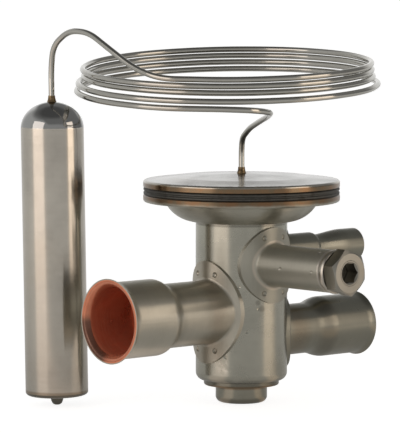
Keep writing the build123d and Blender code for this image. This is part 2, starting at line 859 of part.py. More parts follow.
def make_bulb_shell():
    """Deep-drawn tube with a domed end."""
    hole = capillary_r + capillary_fit
    inner_r = bulb_r - bulb_wall
    outer = dome_line(bulb_r, bulb_tube_top, bulb_dome, hole)
    inner = dome_line(inner_r, bulb_tube_top, bulb_dome - bulb_wall, hole)
    shell = turned(
        Line((bulb_r, bulb_edge), (bulb_r, bulb_tube_top)),
        outer,
        Line(outer @ 1, inner @ 1),
        inner,
        Line((inner_r, bulb_tube_top), (inner_r, bulb_edge)),
        Line((inner_r, bulb_edge), (bulb_r, bulb_edge)),
    )
    return BULB * shell


def make_bulb_cap():
    """Shallow dished end cap, set into the bulb's open end."""
    inner_r = bulb_r - bulb_wall
    low = bulb_edge - bulb_cap_bulge
    cap = turned(
        Line((stub_r * 0.6, low), (bulb_r * 0.6, low)),
        Spline((bulb_r * 0.6, low), (bulb_r, bulb_edge), tangents=[(1, 0), (0.35, 1)]),
        Line((bulb_r, bulb_edge), (inner_r, bulb_edge)),
        Line((inner_r, bulb_edge), (inner_r, bulb_edge + bulb_wall)),
        Line((inner_r, bulb_edge + bulb_wall), (stub_r * 0.6, bulb_edge + bulb_wall)),
        Line((stub_r * 0.6, bulb_edge + bulb_wall), (stub_r * 0.6, low)),
    )
    return BULB * cap


def make_filling_stub():
    """Pinched and welded stub that the bulb was charged through."""
    low = bulb_edge - bulb_cap_bulge
    stub = turned(
        Line((0, 0), (stub_tip_r, 0)),
        Spline((stub_tip_r, 0), (stub_r, low), tangents=[(1, 0.25), (0.1, 1)]),
        Line((stub_r, low), (stub_r * 0.6, low)),
        Line((stub_r * 0.6, low), (stub_r * 0.6, bulb_edge + 2 * bulb_wall)),
        Line((stub_r * 0.6, bulb_edge + 2 * bulb_wall), (0, bulb_edge + 2 * bulb_wall)),
        Line((0, bulb_edge + 2 * bulb_wall), (0, 0)),
    )
    return BULB * stub


def make_bulb_bead():
    return BULB * bead(bulb_mouth())


# ---- capillary -----------------------------------------------------------------------------------
def layout_point(across, back, up):
    return (LAYOUT * Pos(across, back, up)).position


def coil_point(turn):
    """Corner of the coil's route, after so many turns from its start."""
    index = min(int(turn), len(turn_radii) - 2)
    part = turn - index
    radius = turn_radii[index] * (1 - part) + turn_radii[index + 1] * part
    height = turn_heights[index] * (1 - part) + turn_heights[index + 1] * part
    corner_r = radius / math.cos(math.pi / corners_per_turn)
    angle = math.radians(coil_start + 360 * turn)
    x, y = corner_r * math.cos(angle), corner_r * math.sin(angle)
    z = height + coil_pitch_slope * y + coil_roll_slope * x
    return layout_point(coil_centre[0] + x, coil_centre[1] + y, z)


def capillary_route():
    """Corners of the capillary from inside the bulb, up its lead, round the coil and down to the element."""
    turns = len(turn_radii) - 1
    cover = rim_top() + dome_rise
    bulb_axis = [(BULB * Pos(0, 0, h)).position for h in (bulb_height() - 1.2, bulb_height() + 8.0)]
    mouth = (BULB * Pos(0, 0, bulb_mouth())).position.Z
    lead = [layout_point(x, y, mouth + rise) for x, y, rise in lead_corners]
    coil = [coil_point(i / corners_per_turn) for i in range(turns * corners_per_turn + 1)]
    tail = [layout_point(x, y, cover + rise) for x, y, rise in tail_corners]
    tail.append(layout_point(0, 0, cover - rim_t - 0.3))
    return bulb_axis + lead + coil + tail


def bend_radii(route):
    """Radius of the arc at each corner, from the shorter run and the turn there."""
    radii = []
    for a, b, c in zip(route, route[1:], route[2:]):
        before, after = b - a, c - b
        half_turn = math.radians(before.get_angle(after)) / 2
        radii.append(arc_share * min(before.length, after.length) / math.tan(half_turn))
    return radii


def make_capillary():
    route = capillary_route()
    radii = bend_radii(route)
    path = FilletPolyline(*route, radius=radii)
    print("capillary length", round(path.length, 1), "tightest bend", round(min(radii), 2))
    section = Circle(capillary_r) - Circle(capillary_bore_r)
    return sweep(Plane(origin=path @ 0, z_dir=path % 0) * section, path=path)


PARTS = {
    "valve_body": make_body,
    "closing_ring": make_closing_ring,
    "foot_plug": make_foot_plug,
    "outlet_sleeve": make_outlet_sleeve,
    "outlet_lining": make_outlet_lining,
    "inlet_sleeve": make_inlet_sleeve,
    "inlet_lining": make_inlet_lining,
    "inlet_strainer": make_strainer,
    "equaliser_sleeve": make_equaliser_sleeve,
    "equaliser_tube": make_equaliser_tube,
    "equaliser_lining": make_equaliser_lining,
    "spindle_housing": make_spindle_housing,
    "gland_nut": make_gland_nut,
    "adjusting_spindle": make_spindle,
    "spindle_seal": make_spindle_seal,
    "crown_nut": make_crown_nut,
    "spring_seat": make_spring_seat,
    "rod_guide": make_rod_guide,
    "rod_seal": make_rod_seal,
    "superheat_spring": make_superheat_spring,
    "pressure_pad": make_pressure_pad,
    "push_rod": make_push_rod,
    "orifice_seat": make_orifice_seat,
    "valve_cone": make_valve_cone,
    "cone_spring": make_cone_spring,
    "element_base": make_element_base,
    "lower_clamp_ring": lambda: clamp_ring(lower_clamp_bottom()),
    "diaphragm": make_diaphragm,
    "upper_clamp_ring": lambda: clamp_ring(upper_clamp_bottom()),
    "element_cover": make_element_cover,
    "element_bead": make_element_bead,
    "capillary_tube": make_capillary,
    "bulb_bead": make_bulb_bead,
    "bulb_shell": make_bulb_shell,
    "bulb_cap": make_bulb_cap,
    "filling_stub": make_filling_stub,
}

os.makedirs("parts", exist_ok=True)
for name, make in PARTS.items():
    export_step(make(), f"parts/{name}.step")
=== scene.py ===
import math

import bpy
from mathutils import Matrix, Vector


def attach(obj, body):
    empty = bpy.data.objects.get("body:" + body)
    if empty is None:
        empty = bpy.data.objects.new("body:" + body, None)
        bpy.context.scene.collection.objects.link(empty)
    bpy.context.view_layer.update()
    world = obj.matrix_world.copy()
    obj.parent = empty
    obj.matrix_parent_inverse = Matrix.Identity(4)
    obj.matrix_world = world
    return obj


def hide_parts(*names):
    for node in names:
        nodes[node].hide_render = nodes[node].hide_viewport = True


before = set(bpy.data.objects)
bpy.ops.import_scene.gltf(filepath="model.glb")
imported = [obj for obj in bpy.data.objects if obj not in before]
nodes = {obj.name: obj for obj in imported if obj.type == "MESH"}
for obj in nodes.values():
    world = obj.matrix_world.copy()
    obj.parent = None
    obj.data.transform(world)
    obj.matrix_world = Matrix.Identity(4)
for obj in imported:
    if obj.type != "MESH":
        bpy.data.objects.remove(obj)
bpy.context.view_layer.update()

# ---- camera: values read from the photograph's framing -------------------------------------------
PIXELS_HIGH = 433
PIXEL_SIZE = 0.00024          # metres per pixel at the valve's axis
VIEW_AZIMUTH = math.radians(-42.6)
CAMERA_DISTANCE = 0.900       # level distance from the valve's axis
CAMERA_HEIGHT = 0.1218
AXIS_OFFSET = 0.00996         # the valve's axis stands this far right of the picture's middle
AIM_HEIGHT = 0.0447
SENSOR = 36.0

# ---- surroundings as the metal reflects them -----------------------------------------------------
# Round the horizon: degrees from the camera's side, positive to its right, then level and colour.
PLAIN = (1.0, 1.0, 1.0)
LEFT_WARM = (1.0, 0.89, 0.83)
RIGHT_WARM = (1.0, 0.85, 0.72)
ROOM_RING = (
    (-180, 1.0, PLAIN), (-155, 0.95, PLAIN), (-138, 0.64, PLAIN), (-90, 0.64, PLAIN), (-30, 0.48, PLAIN),
    (50, 0.45, PLAIN), (84, 0.34, PLAIN), (92, 0.26, PLAIN), (134, 0.24, PLAIN), (152, 0.9, PLAIN),
    (180, 1.0, PLAIN),
)
# Levels of the floor as the metal sees it, round the horizon: painted pools of light in front of the
# softboxes.
FLOOR_RING = (
    (-180, 1.0, PLAIN), (-100, 1.0, PLAIN), (-80, 1.2, PLAIN), (-70, 2.0, LEFT_WARM), (-38, 2.0, LEFT_WARM),
    (-28, 1.05, PLAIN), (50, 1.0, PLAIN), (60, 2.0, RIGHT_WARM), (84, 2.0, RIGHT_WARM), (94, 1.0, PLAIN),
    (180, 1.0, PLAIN),
)
UPPER_LEVEL = 0.26            # above the backdrop and the softboxes
CEILING_LEVEL = 0.12
FLOOR_HALF = 3.0
FLOOR_COLOUR = (0.5, 0.49, 0.47)
FLOOR_SEEN = 0.85             # what the camera sees of the floor beyond the light that falls on it
# the low level near the valve is a painted shadow of the object on the floor
FLOOR_NEAR = (0.04, 0.26)     # distance from the valve's axis, and level that the metal reflects there
FLOOR_FAR = (0.40, 0.50)
LAMP_AIM = 0.04               # height that the softboxes face

# ---- colours (linear) ----------------------------------------------------------------------------
STEEL = (0.405, 0.395, 0.335)
# paler steel; on the nut's rolled collar it is a painted highlight
STEEL_PALE = (0.50, 0.465, 0.405)
# painted shade: a darker copy of the steel for the inlet and equaliser, which lie in the shade of the spigot
# and nut
STEEL_SHADED = (0.27, 0.262, 0.215)
# darker steel; at the places marked below it is painted shade
STEEL_DARK = (0.15, 0.14, 0.115)
OUTLET_STEEL = (0.50, 0.475, 0.40)
BOWL_STEEL = (0.45, 0.44, 0.375)
COIL_STEEL = (0.44, 0.43, 0.39)
NUT_STEEL = (0.32, 0.308, 0.268)
# painted shade: the ring's whole steel is darkened, as its chamfer reflects the shaded floor by the valve
SHADED_RING_STEEL = (0.20, 0.19, 0.155)
FOOT_STEEL = (0.31, 0.30, 0.247)
# painted shade: the bulb's polished dome is darkened as its reflection of the dark room above
DOME_PAINTED_SHADE = (0.38, 0.38, 0.37)
COVER_GREY = (0.33, 0.322, 0.30)
# painted highlight on the fillet at the spindle housing's root
ROOT_HIGHLIGHT = (0.62, 0.56, 0.47)
SPATTER_PALE = (0.66, 0.62, 0.54)
HEAT_BROWN = (0.19, 0.13, 0.075)
HEAT_GOLD = (0.336, 0.216, 0.096)
RIM_BRONZE = (0.15, 0.102, 0.053)
RIM_RUST = (0.24, 0.125, 0.06)
RIM_SCORCH = (0.04, 0.03, 0.024)
# painted highlight on the cover's edge
RIM_EDGE_HIGHLIGHT = (0.55, 0.51, 0.43)
WELD_GREY = (0.085, 0.084, 0.076)
COPPER = (0.76, 0.27, 0.15)
COPPER_PALE = (0.85, 0.40, 0.24)
COPPER_DARK = (0.50, 0.14, 0.075)
# painted shade on the outlet flare's inner face, low on its far side
COPPER_PAINTED_SHADE = (0.07, 0.045, 0.032)
BRASS = (0.55, 0.38, 0.13)
BRAZE = (0.29, 0.21, 0.115)
BRAZE_DARK = (0.085, 0.06, 0.036)
RUBBER = (0.012, 0.012, 0.013)

# ---- places on the valve, in metres from the foot's underside on the axis ------------------------
BODY_NECK = (0.0430, 0.0436)           # heights: below the element
# painted shade: the body's rounded bottom, darkened where it reflects the floor in the valve's shadow
SHADED_BODY_BOTTOM = (0.0050, 0.0062)
RING_SEAM = (0.0038, 0.0046)
FOOT_SEAM = (0.0036, 0.0046)
# painted shade at the foot's bottom edge, against the floor
SHADED_FOOT_EDGE = (-0.0010, 0.0012)
LOWER_RIM = (0.0490, 0.0504)
LOWER_SEAM = (0.0500, 0.0506)
UPPER_SEAM = (0.0516, 0.0520)
UPPER_RIM = (0.0518, 0.0532)
# where the cover's edge gets its painted highlight
COVER_EDGE = (0.0531, 0.0536)
BULB_BOTTOM = (0.0, 0.0037)
BULB_DOME = (0.0665, 0.0900)
# where the painted shade on the dome begins
BULB_DOME_SHADE = (0.0666, 0.0900)
OUTLET_ROOT = (-0.0165, -0.0112)       # along X
OUTLET_STEP = (-0.0272, -0.0240)
INLET_ROOT = (0.0112, 0.0165)
INLET_STEP = (0.0212, 0.0252)
HOUSING_END = (-0.0318, -0.0312)       # along Y
# the nut's rolled collar is painted pale as a highlight, and its groove dark as painted shade
NUT_COLLAR_HIGHLIGHT = (-0.0334, -0.0300)
NUT_GROOVE_SHADE = (-0.0341, -0.0335)
COVER_MIDDLE = (0.0, 0.0, 0.0551)
OUTLET_HEIGHT = 0.0225
OUTLET_REACH = 0.0419
FLARE_LIMIT = 0.00975                  # radius plus half the way in, where the flare's inner face ends
# where the painted shade on the outlet flare's inner face lies: below a height, beyond a place along Y
FLARE_SHADE_BELOW = (0.0215, 0.0240)         # height
FLARE_SHADE_BEYOND = (0.0005, 0.0030)        # along Y
SPINDLE_HEIGHT = 0.0338
HOUSING_R = 0.00505
BODY_MARKS = (                         # dents on the body: place and radius
    ((-0.00641, -0.00894, 0.01809), 0.0005),
    ((-0.00786, -0.00769, 0.02885), 0.0005),
    ((-0.00977, -0.00505, 0.01191), 0.0006),
    ((-0.00393, -0.01027, 0.02352), 0.0004),
    ((-0.00200, -0.01082, 0.02557), 0.0004),
)
SCRATCHES = (
    ((-0.00306, -0.01056, 0.02348), 0.0011),
    ((-0.00405, -0.01023, 0.02500), 0.0009),
    ((0.00050, -0.01099, 0.02520), 0.0007),
)
WELD_SPATTER = (
    ((-0.01085, -0.00181, 0.01182), 0.0022),
    ((-0.01000, -0.00458, 0.00950), 0.0026),
)


# ---- node helpers --------------------------------------------------------------------------------
class Tree:
    """A node tree that is built by calls, one per node."""

    def __init__(self, tree):
        self.tree = tree

    def feed(self, node, inputs):
        """Fills a node's inputs: sockets are linked, and anything else is set as a constant."""
        for key, value in dict(inputs).items():
            socket = node.inputs[key]
            if isinstance(value, bpy.types.NodeSocket):
                self.tree.links.new(value, socket)
            elif socket.type == "RGBA":
                socket.default_value = (*value, 1.0)
            else:
                socket.default_value = value

    def node(self, kind, inputs=(), **settings):
        made = self.tree.nodes.new(kind)
        for key, value in settings.items():
            setattr(made, key, value)
        self.feed(made, inputs)
        return made

    def math(self, operation, a, b=0.0):
        return self.node("ShaderNodeMath", {0: a, 1: b}, operation=operation).outputs[0]

    def vector(self, operation, a, b=(0, 0, 0)):
        return self.node("ShaderNodeVectorMath", {0: a, 1: b}, operation=operation).outputs

    def ramp(self, value, low, high, to_low=0.0, to_high=1.0, smooth=True):
        return self.node(
            "ShaderNodeMapRange",
            {"Value": value, "From Min": low, "From Max": high, "To Min": to_low, "To Max": to_high},
            interpolation_type="SMOOTHSTEP" if smooth else "LINEAR",
        ).outputs[0]

    def mix(self, share, a, b):
        return self.node("ShaderNodeMix", {0: share, 6: a, 7: b}, data_type="RGBA").outputs[2]


class Material(Tree):
    """A Principled material, painted by places on the object."""

    def __init__(self, name):
        self.material = bpy.data.materials.new(name)
        self.material.use_nodes = True
        super().__init__(self.material.node_tree)
        self.shader = self.tree.nodes["Principled BSDF"]
        self.point = self.node("ShaderNodeTexCoord").outputs["Object"]
        self.xyz = self.node("ShaderNodeSeparateXYZ", {"Vector": self.point}).outputs

    def noise(self, scale, stretch=(1, 1, 1), detail=4.0, rough=0.55):
        mapping = self.node("ShaderNodeMapping", {"Vector": self.point, "Scale": stretch})
        return self.node(
            "ShaderNodeTexNoise",
            {"Vector": mapping.outputs[0], "Scale": scale, "Detail": detail, "Roughness": rough},
        ).outputs["Fac"]

    def band(self, value, low, high, soft):
        """1 between low and high, falling to 0 over soft on either side."""
        rise = self.ramp(value, low - soft, low + soft)
        fall = self.ramp(value, high - soft, high + soft, 1.0, 0.0)
        return self.math("MULTIPLY", rise, fall)

    def distance(self, centre):
        """Distance of the shaded point from a place on the object."""
        return self.vector("DISTANCE", self.point, centre)["Value"]

    def from_line(self, centre, direction):
        """Distance from an infinite line, for radii about a port's axis."""
        off = self.vector("SUBTRACT", self.point, centre)["Vector"]
        cross = self.vector("CROSS_PRODUCT", off, direction)["Vector"]
        return self.vector("LENGTH", cross)["Value"]

    def bump(self, height, strength, distance, normal=None):
        inputs = {"Height": height, "Strength": strength, "Distance": distance}
        if normal is not None:
            inputs["Normal"] = normal
        return self.node("ShaderNodeBump", inputs).outputs["Normal"]

    def finish(self, color, roughness, normal, metallic=1.0, **others):
        self.feed(self.shader, {
            "Base Color": color, "Roughness": roughness, "Normal": normal, "Metallic": metallic, **others})
        return self.material


def times(color, factor):
    return tuple(min(1.0, c * factor) for c in color)


def stretch_along(axis, fine, coarse):
    """Mapping scale that is fine along one axis, so the noise runs in rings round it."""
    return tuple(fine if letter == axis else coarse for letter in "XYZ")


# ---- shares: functions of a material that say how much of a tint lies where -----------------------
def along(axis, between, soft, noisy=0.0):
    """Share between two places on an axis, with a broken edge."""
    def share(m):
        value = m.xyz[axis]
        if noisy:
            wander = m.math("MULTIPLY", m.math("SUBTRACT", m.noise(260, detail=3), 0.5), noisy)
            value = m.math("ADD", value, wander)
        return m.band(value, *between, soft)
    return share


def spot(centre, radius):
    """Share that is 1 about a place and falls to 0 at a radius."""
    return lambda m: m.ramp(m.distance(centre), 0.35 * radius, radius, 1.0, 0.0)


def scaled(share, amount):
    return lambda m: m.math("MULTIPLY", share(m), amount)


def mottled(share, amount):
    """Breaks a share into patches."""
    def patches(m):
        cover = m.ramp(m.noise(420, detail=4, rough=0.65), 0.38, 0.62, 0.0, amount)
        return m.math("MULTIPLY", share(m), cover)
    return patches


def flare_inside(m):
    """Share on the inner face of the outlet's flare."""
    radius = m.from_line((0, 0, OUTLET_HEIGHT), (1, 0, 0))
    inward = m.math("ADD", m.xyz["X"], OUTLET_REACH)
    widened = m.math("ADD", radius, m.math("MULTIPLY", inward, 0.5))
    return m.ramp(widened, FLARE_LIMIT - 0.00005, FLARE_LIMIT + 0.00005, 1.0, 0.0)


def flare_painted_shade(m):
    """Share of the flare's inner face that is darkened as painted shade, low on its far side."""
    low = m.ramp(m.xyz["Z"], *FLARE_SHADE_BELOW, 1.0, 0.0)
    side = m.ramp(m.xyz["Y"], *FLARE_SHADE_BEYOND)
    return m.math("MULTIPLY", flare_inside(m), m.math("MULTIPLY", low, side))


def housing_root_highlight(m):
    """Share on the fillet where the spindle housing rises from its pad, painted pale as a highlight."""
    radius = m.from_line((0, 0, SPINDLE_HEIGHT), (0, 1, 0))
    return m.band(radius, HOUSING_R + 0.0003, HOUSING_R + 0.0009, 0.0002)


# ---- materials -----------------------------------------------------------------------------------
def steel(name, axis="Z", base=STEEL, roughness=0.25, grain=0.7, metallic=1.0, tints=(), marks=(),
          polished=None):
    """Drawn or turned stainless steel, satin round an axis, with stains, weld heat tints, and at some places
    painted shade and painted highlights.

    grain is how far the satin spreads reflections along the axis. tints are (share, colour).
    marks are small dents, as (centre, radius). polished is a share too.
    """
    m = Material(name)
    rings = m.noise(1.0, stretch_along(axis, 5200, 130), detail=3)
    cloud = m.noise(90, detail=5, rough=0.6)
    blotch = m.noise(38, detail=3)
    color = m.mix(m.ramp(cloud, 0.35, 0.75), base, times(base, 0.88))
    color = m.mix(m.math("MULTIPLY", m.ramp(rings, 0.35, 0.75), 0.2), color, times(base, 1.15))
    color = m.mix(m.math("MULTIPLY", m.ramp(blotch, 0.5, 0.8), 0.15), color, HEAT_GOLD)
    for share, tint in tints:
        color = m.mix(share(m), color, tint)
    rough = m.math("ADD", m.ramp(cloud, 0.3, 0.8, -0.04, 0.06), roughness)
    satin = grain
    if polished:
        dull = m.math("SUBTRACT", 1.0, polished(m))
        rough = m.math("MULTIPLY", rough, m.ramp(dull, 0.0, 1.0, 0.35, 1.0, smooth=False))
        satin = m.math("MULTIPLY", dull, grain)
    normal = m.bump(rings, 0.06, 0.00002)
    normal = m.bump(m.noise(160, detail=2), 0.2, 0.00006, normal)
    if marks:
        dents = 1.0
        for centre, radius in marks:
            dents = m.math("MINIMUM", dents, m.ramp(m.distance(centre), 0.0, radius))
        normal = m.bump(dents, 0.5, 0.0003, normal)
    around = m.node("ShaderNodeTangent", direction_type="RADIAL", axis=axis).outputs[0]
    return m.finish(color, rough, normal, metallic, **{
        "Anisotropic": satin, "Anisotropic Rotation": 0.25, "Tangent": around})


def copper(name, painted_shade=None):
    """Drawn copper tube along X. The last argument is the share that is darkened as painted shade."""
    m = Material(name)
    rings = m.noise(1.0, stretch_along("X", 4200, 160), detail=3)
    stains = m.noise(120, detail=5, rough=0.65)
    color = m.mix(m.ramp(stains, 0.42, 0.85), COPPER, COPPER_DARK)
    color = m.mix(m.math("MULTIPLY", m.ramp(rings, 0.4, 0.7), 0.3), color, COPPER_PALE)
    # painted shade
    if painted_shade:
        color = m.mix(m.math("MULTIPLY", painted_shade(m), 0.8), color, COPPER_PAINTED_SHADE)
    rough = m.ramp(stains, 0.3, 0.8, 0.18, 0.32)
    return m.finish(color, rough, m.bump(rings, 0.15, 0.00003), metallic=0.45)


def brass(name):
    m = Material(name)
    rings = m.noise(1.0, stretch_along("Z", 5000, 150), detail=3)
    color = m.mix(m.ramp(rings, 0.3, 0.7), BRASS, times(BRASS, 0.8))
    return m.finish(color, m.ramp(rings, 0.3, 0.7, 0.25, 0.4), m.bump(rings, 0.4, 0.00003))


def braze(name):
    m = Material(name)
    lumps = m.noise(900, detail=4)
    color = m.mix(m.ramp(lumps, 0.35, 0.7), BRAZE, BRAZE_DARK)
    return m.finish(color, m.ramp(lumps, 0.3, 0.7, 0.25, 0.5), m.bump(lumps, 0.6, 0.0001))


def rubber(name):
    m = Material(name)
    speckle = m.noise(2500, detail=3)
    color = m.mix(speckle, RUBBER, times(RUBBER, 1.8))
    rough = m.ramp(speckle, 0.3, 0.7, 0.5, 0.7)
    return m.finish(color, rough, m.bump(speckle, 0.3, 0.00004), metallic=0.0)


def weld_ring(name):
    """Edge of the clamp rings and the diaphragm, rough from the weld that runs along it."""
    m = Material(name)
    grain = m.noise(1.0, stretch_along("Z", 6000, 1400), detail=4)
    color = m.mix(m.ramp(grain, 0.35, 0.7), WELD_GREY, times(WELD_GREY, 1.5))
    color = m.mix(m.ramp(m.noise(350, detail=4), 0.5, 0.7, 0.0, 0.5), color, RIM_SCORCH)
    return m.finish(color, m.ramp(grain, 0.3, 0.7, 0.5, 0.65), m.bump(grain, 0.8, 0.0001))


# ---- the CAD nodes' materials --------------------------------------------------------------------
def dress(names, material):
    for name in names:
        mesh = nodes[name].data
        mesh.materials.clear()
        mesh.materials.append(material)


dress(["valve_body"], steel("body_steel", "Z", roughness=0.27, marks=BODY_MARKS, tints=[
    (scaled(along("Z", BODY_NECK, 0.0002), 0.6), STEEL_DARK),
    # painted shade on the body's rounded bottom
    (scaled(along("Z", SHADED_BODY_BOTTOM, 0.0005, 0.001), 0.6), STEEL_DARK),
    *((scaled(spot(centre, radius), 0.45), STEEL_DARK) for centre, radius in SCRATCHES),
    *((mottled(spot(centre, radius), 0.6), SPATTER_PALE) for centre, radius in WELD_SPATTER),
]))
# the ring's darker steel is painted shade
dress(["closing_ring"], steel("ring_steel", "Z", base=SHADED_RING_STEEL, tints=[
    (scaled(along("Z", RING_SEAM, 0.0002), 0.8), HEAT_BROWN),
]))
dress(["foot_plug"], steel("foot_steel", "Z", base=FOOT_STEEL, roughness=0.17, grain=0.4, tints=[
    # painted shade at the foot's bottom edge, against the floor
    (scaled(along("Z", SHADED_FOOT_EDGE, 0.0005), 0.65), STEEL_DARK),
    (scaled(along("Z", FOOT_SEAM, 0.0003), 0.85), HEAT_BROWN),
]))
dress(["outlet_sleeve"], steel("outlet_steel", "X", base=OUTLET_STEEL, roughness=0.35, metallic=0.85, tints=[
    (scaled(along("X", OUTLET_ROOT, 0.0024, 0.004), 0.35), HEAT_BROWN),
    (scaled(along("X", OUTLET_STEP, 0.001), 0.2), STEEL_DARK),
    (flare_inside, COPPER),
    # painted shade low on the flare's far side
    (scaled(flare_painted_shade, 0.85), COPPER_PAINTED_SHADE),
]))
# darker steel as painted shade
dress(["inlet_sleeve"], steel("inlet_steel", "X", base=STEEL_SHADED, roughness=0.31, tints=[
    (scaled(along("X", INLET_ROOT, 0.0024, 0.004), 0.35), HEAT_BROWN),
    (scaled(along("X", INLET_STEP, 0.0018, 0.003), 0.45), STEEL_DARK),
]))
# darker steel as painted shade
dress(["equaliser_sleeve", "equaliser_tube"], steel(
    "equaliser_steel", "X", base=STEEL_SHADED, roughness=0.3))
dress(["outlet_lining", "inlet_lining", "equaliser_lining"], copper("copper_lining"))
dress(["spindle_housing"], steel("spigot_steel", "Y", roughness=0.46, metallic=0.75, tints=[
    # painted highlight on the fillet at the housing's root
    (scaled(housing_root_highlight, 0.7), ROOT_HIGHLIGHT),
    (scaled(along("Y", HOUSING_END, 0.0002), 0.7), STEEL_PALE),
]))
dress(["gland_nut", "adjusting_spindle"], steel(
    "nut_steel", "Y", base=NUT_STEEL, roughness=0.32, grain=0.0, tints=[
        # painted highlight on the rolled collar, painted shade in the groove
        (along("Y", NUT_COLLAR_HIGHLIGHT, 0.0001), STEEL_PALE),
        (along("Y", NUT_GROOVE_SHADE, 0.0001), STEEL_DARK),
    ]))
dress(["element_base"], steel("bowl_steel", "Z", base=BOWL_STEEL, roughness=0.36, metallic=0.82, tints=[
    (scaled(along("Z", LOWER_RIM, 0.0004, 0.0006), 0.9), RIM_BRONZE),
    (mottled(along("Z", LOWER_RIM, 0.0004, 0.0006), 0.7), RIM_RUST),
    (scaled(along("Z", LOWER_SEAM, 0.0001, 0.0004), 0.7), RIM_SCORCH),
]))
dress(["element_cover"], steel("cover_steel", "Z", base=COVER_GREY, roughness=0.2, grain=0.3, tints=[
    (scaled(along("Z", UPPER_RIM, 0.0002, 0.0003), 0.9), RIM_BRONZE),
    (mottled(along("Z", UPPER_RIM, 0.0002, 0.0003), 0.45), RIM_RUST),
    # painted highlight on the cover's edge
    (scaled(along("Z", COVER_EDGE, 0.0001), 0.5), RIM_EDGE_HIGHLIGHT),
    (scaled(along("Z", UPPER_SEAM, 0.0001, 0.0003), 0.7), RIM_SCORCH),
    (scaled(spot(COVER_MIDDLE, 0.0034), 0.6), HEAT_BROWN),
]))
dress(["lower_clamp_ring", "upper_clamp_ring", "diaphragm"], weld_ring("clamp_ring_steel"))
dress(["bulb_shell"], steel(
    "bulb_shell_steel", "Z", base=STEEL_PALE, roughness=0.2, polished=along("Z", BULB_DOME, 0.0002), tints=[
        (scaled(along("Z", BULB_BOTTOM, 0.0003), 0.6), HEAT_BROWN),
        # painted shade on the polished dome
        (along("Z", BULB_DOME_SHADE, 0.0002), DOME_PAINTED_SHADE),
    ]))
dress(["bulb_cap", "filling_stub"], steel("bulb_end_steel", "Z", base=STEEL_DARK))
dress(["capillary_tube"], steel("capillary_steel", "Z", base=COIL_STEEL, grain=0.0, roughness=0.13))
dress(["element_bead", "bulb_bead"], braze("braze_metal"))
dress(["crown_nut", "rod_guide"], brass("gear_brass"))
dress(["spindle_seal", "rod_seal"], rubber("seal_ring_rubber"))
dress(["orifice_seat", "valve_cone", "cone_spring", "push_rod", "pressure_pad", "superheat_spring",
       "spring_seat", "inlet_strainer"], steel("inner_steel", "Z", base=STEEL_PALE))


# ---- turned pieces -------------------------------------------------------------------------------
TURN_STEPS = 120


def add_object(name, data):
    made = bpy.data.objects.new(name, data)
    bpy.context.scene.collection.objects.link(made)
    return made


def turned_ring(name, material, section_at, place, start, sharp):
    """Closed ring round an axis, on the housing.

    section_at gives the ring's outline at an angle, as points (along the axis, radius). place puts
    (along the axis, across, up) into the frame. Edges that bend more than sharp stay sharp.
    """
    points, faces = [], []
    for i in range(TURN_STEPS):
        angle = start + 2 * math.pi * i / TURN_STEPS
        section = section_at(angle)
        rows = len(section)
        this, after = i * rows, (i + 1) % TURN_STEPS * rows
        for at, radius in section:
            points.append(place(at, radius * math.cos(angle), radius * math.sin(angle)))
        for j in range(rows):
            k = (j + 1) % rows
            faces.append((this + j, after + j, after + k, this + k))
    mesh = bpy.data.meshes.new(name)
    mesh.from_pydata(points, [], faces)
    mesh.shade_smooth()
    mesh.set_sharp_from_angle(angle=sharp)
    mesh.materials.append(material)
    ring = add_object(name, mesh)
    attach(ring, "housing")
    return ring


# ---- copper of the outlet's flare ----------------------------------------------------------------
FLARE_SECTION = (             # (X, radius): out along the inner face, and back on the steel flare
    (-0.04060, 0.00817), (-0.04084, 0.00827), (-0.04116, 0.00844), (-0.04150, 0.00868), (-0.04182, 0.00895),
    (-0.04186, 0.00908), (-0.04186, 0.00936), (-0.04154, 0.00914), (-0.04116, 0.00890), (-0.04084, 0.00873),
    (-0.04060, 0.00864),
)


def make_outlet_copper():
    """Ring that carries the lining's copper out over the flare, as the photograph shows it."""
    # its copper carries painted shade low on the flare's far side
    turned_ring(
        "outlet_flare_copper", copper("flare_copper", painted_shade=flare_painted_shade),
        section_at=lambda angle: FLARE_SECTION,
        place=lambda at, across_axis, up: (at, across_axis, OUTLET_HEIGHT + up),
        start=0.0, sharp=math.radians(40))


# ---- gland nut -----------------------------------------------------------------------------------
NUT_CORNER_TURN = math.radians(41)
NUT_APOTHEM = 0.0049
NUT_FACE_R = 0.0046
NUT_FACE_AT = 0.0374          # reaches are along -Y
NUT_BORE_R = 0.0030
NUT_BORE_EDGE = 0.00005
NUT_BACK = (                  # (reach, radius): rolled collar and groove behind the hexagon
    (0.0320, 0.00500), (0.0322, 0.00514), (0.0326, 0.00520), (0.0329, 0.00520), (0.0332, 0.00514),
    (0.0334, 0.00500), (0.0335, 0.00470), (0.0340, 0.00470),
)
HEXAGON_START = 0.0340
HEXAGON_EDGE = 0.0002


def nut_section(angle):
    """Outline of the nut at an angle about its axis, as (reach, radius). The chamfer is 30 degrees."""
    off = (angle - NUT_CORNER_TURN) % math.radians(60) - math.radians(30)
    flat = NUT_APOTHEM / math.cos(off)
    chamfer = (flat - NUT_FACE_R) * math.tan(math.radians(30))
    return (
        (NUT_BACK[0][0], NUT_BORE_R),
        *NUT_BACK,
        (HEXAGON_START, flat * 0.985),
        (HEXAGON_START + HEXAGON_EDGE, flat),
        (NUT_FACE_AT - chamfer, flat),
        (NUT_FACE_AT, NUT_FACE_R),
        (NUT_FACE_AT, NUT_BORE_R + NUT_BORE_EDGE),
        (NUT_FACE_AT - NUT_BORE_EDGE, NUT_BORE_R),
    )


def make_nut():
    """The gland nut with its rolled collar and groove, and its hexagon chamfered to a round face."""
    nut = turned_ring(
        "gland_nut_round", nodes["gland_nut"].data.materials[0],
        section_at=nut_section,
        place=lambda reach, across_axis, up: (across_axis, -reach, SPINDLE_HEIGHT + up),
        start=NUT_CORNER_TURN, sharp=math.radians(25))
    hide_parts("gland_nut")


